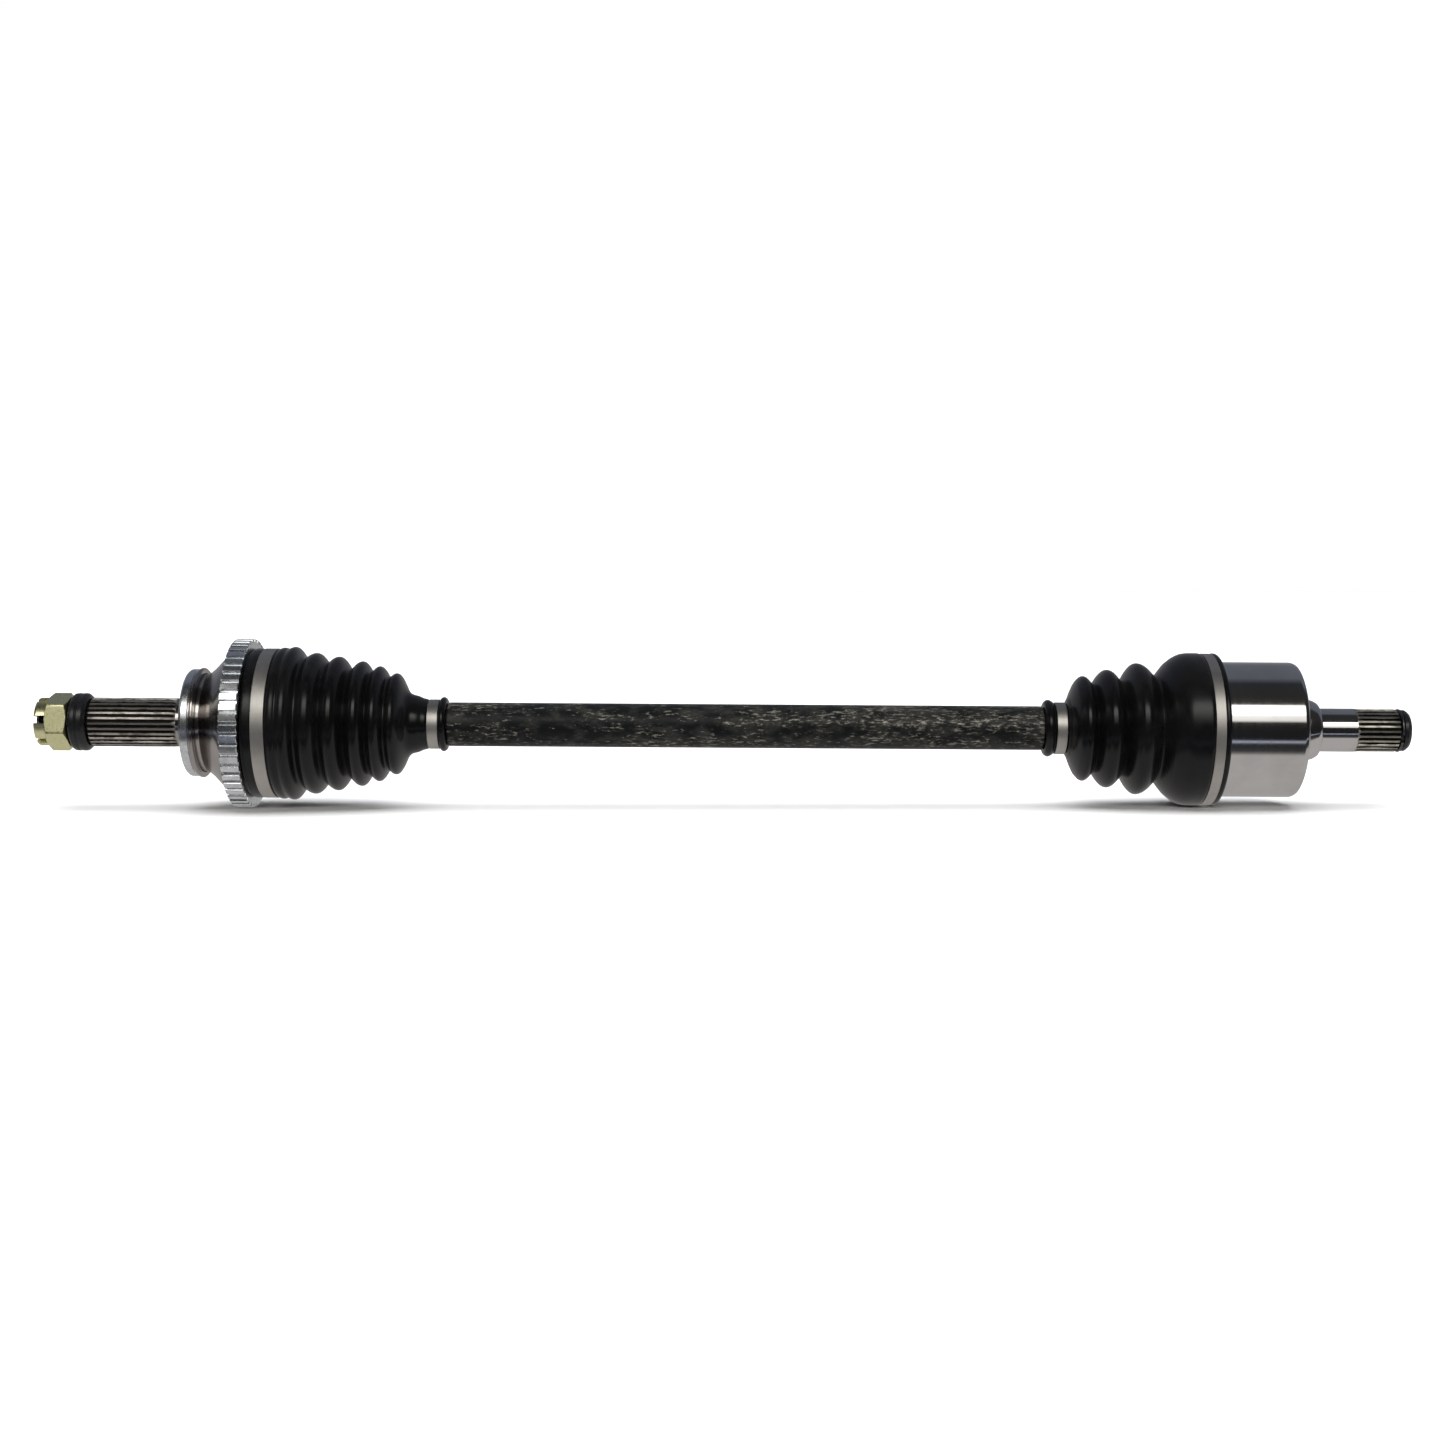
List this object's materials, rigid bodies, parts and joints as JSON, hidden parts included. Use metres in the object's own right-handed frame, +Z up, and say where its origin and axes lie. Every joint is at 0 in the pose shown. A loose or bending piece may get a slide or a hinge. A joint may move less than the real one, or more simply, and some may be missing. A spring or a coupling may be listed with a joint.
{
  "type": "cv axle",
  "caption": "Front-wheel-drive half shaft with a ball joint at the wheel end, a plunging tripod joint at the transmission end, ribbed rubber boots, clamp bands and an ABS tone ring.",
  "frame": {"origin": "centre of the bounding box, on the shaft's centreline, with both joints straight", "axes": "+X along the shaft towards the transmission end, +Z up, +Y to the back; the wheel end is at -X"},
  "size_m": [0.8166, 0.1, 0.1],
  "materials": {
    "zinc_yellow": "yellow-green zinc plating, satin",
    "black_steel": "black oxide, oiled",
    "machined_steel": "ground and turned bare steel, bright",
    "zinc_bright": "bright zinc plating",
    "rubber": "satin black moulded rubber",
    "stainless": "brushed stainless strip",
    "shaft_steel": "black mill scale with worn patches",
    "bearing_steel": "polished bearing steel, greased",
    "spring_steel": "blued spring steel"
  },
  "bodies": {
    "half_shaft": {"axle_bar": "shaft_steel", "outer_race": "bearing_steel", "race_circlip": "spring_steel", "outer_clamp_small": "stainless", "inner_clamp_small": "stainless", "tripod_spider": "bearing_steel", "spider_circlip": "spring_steel", "roller_needles_1": "bearing_steel", "roller_clip_1": "spring_steel", "tripod_roller_2": "bearing_steel", "roller_needles_2": "bearing_steel", "roller_clip_2": "spring_steel", "tripod_roller_3": "bearing_steel", "roller_needles_3": "bearing_steel", "roller_clip_3": "spring_steel"},
    "outer_boot_fold": {"outer_boot": "rubber"},
    "wheel_side": {"outer_bell": "machined_steel", "castle_nut": "zinc_yellow", "nut_washer": "black_steel", "dust_ring": "zinc_bright", "tone_ring": "zinc_bright", "outer_clamp_large": "stainless"},
    "upright_balls": {"outer_ball_2": "bearing_steel", "outer_ball_5": "bearing_steel"},
    "ball_cage": {"outer_cage": "bearing_steel", "outer_ball_1": "bearing_steel", "outer_ball_3": "bearing_steel", "outer_ball_4": "bearing_steel", "outer_ball_6": "bearing_steel"},
    "tripod_lead_roller": {"tripod_roller_1": "bearing_steel"},
    "inner_boot_fold": {"inner_boot": "rubber"},
    "transmission_side": {"tripod_housing": "machined_steel", "inner_clamp_large": "stainless", "stub_circlip": "spring_steel"}
  },
  "joints": [
    {"name": "outer_tilt", "type": "hinge", "parent": "half_shaft", "child": "outer_boot_fold", "pos_m": [-0.28, 0, 0], "axis": [0, 1, 0], "range_deg": [-10, 10]},
    {"name": "outer_steer", "type": "hinge", "parent": "outer_boot_fold", "child": "wheel_side", "pos_m": [-0.28, 0, 0], "axis": [0, 0, 1], "range_deg": [-36, 36], "deforming": ["outer_boot"]},
    {"name": "cage_tilt", "type": "hinge", "parent": "half_shaft", "child": "upright_balls", "pos_m": [-0.28, 0, 0], "axis": [0, 1, 0], "range_deg": [-5, 5]},
    {"name": "cage_steer", "type": "hinge", "parent": "upright_balls", "child": "ball_cage", "pos_m": [-0.28, 0, 0], "axis": [0, 0, 1], "range_deg": [-18, 18]},
    {"name": "inner_tilt", "type": "hinge", "parent": "half_shaft", "child": "tripod_lead_roller", "pos_m": [0.308, 0, 0], "axis": [0, 1, 0], "range_deg": [-15, 15]},
    {"name": "inner_steer", "type": "hinge", "parent": "tripod_lead_roller", "child": "inner_boot_fold", "pos_m": [0.308, 0, 0], "axis": [0, 0, 1], "range_deg": [-8, 8]},
    {"name": "plunge", "type": "slide", "parent": "inner_boot_fold", "child": "transmission_side", "axis": [1, 0, 0], "range_m": [-0.006, 0.01], "deforming": ["inner_boot"]}
  ],
  "couplings": [
    {"joint": "cage_tilt", "follows": "outer_tilt", "ratio": 0.5},
    {"joint": "cage_steer", "follows": "outer_steer", "ratio": 0.5}
  ]
}
